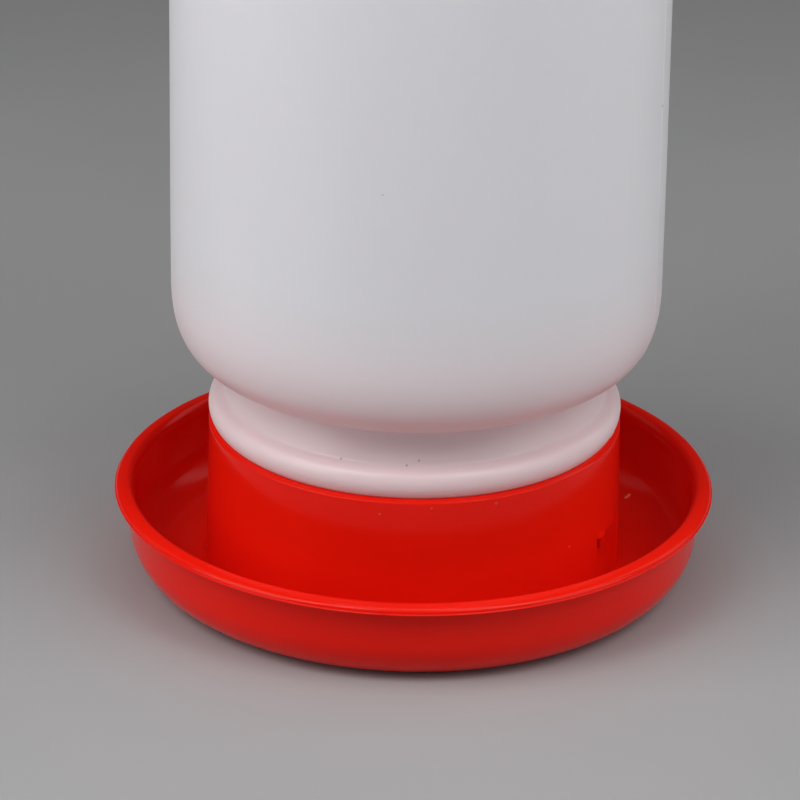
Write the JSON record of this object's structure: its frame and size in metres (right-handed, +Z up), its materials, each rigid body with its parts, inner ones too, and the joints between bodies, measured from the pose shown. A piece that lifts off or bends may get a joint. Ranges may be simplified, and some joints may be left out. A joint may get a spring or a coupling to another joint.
{
  "type": "poultry waterer fount",
  "caption": "Poultry waterer fount: a white plastic jar stands neck down in a round red drinking tray whose centre collar has a water outlet; a bail handle swings on the jar.",
  "frame": {"origin": "on the jar's axis, in the plane that the base stands on, in the middle of the whole part's box", "axes": "+Z up along the jar's axis; -Y is the front; +X is the right, and the water outlet is on the collar's right, towards the front; the handle leans back along +Y and swings about X"},
  "size_m": [0.2, 0.2, 0.25],
  "materials": {
    "red_plastic": "glossy moulded polypropylene, opaque red",
    "white_plastic": "satin blow-moulded polyethylene, translucent milky white"
  },
  "bodies": {
    "base": {"base": "red_plastic"},
    "jar": {"jar": "white_plastic"},
    "handle": {"handle": "red_plastic"}
  },
  "joints": [
    {"name": "jar_lift", "type": "slide", "parent": "base", "child": "jar", "axis": [0, 0, 1], "range_m": [0, 0.06]},
    {"name": "handle_swing", "type": "hinge", "parent": "jar", "child": "handle", "pos_m": [0, 0, 0.231], "axis": [1, 0, 0], "range_deg": [0, 190]}
  ]
}
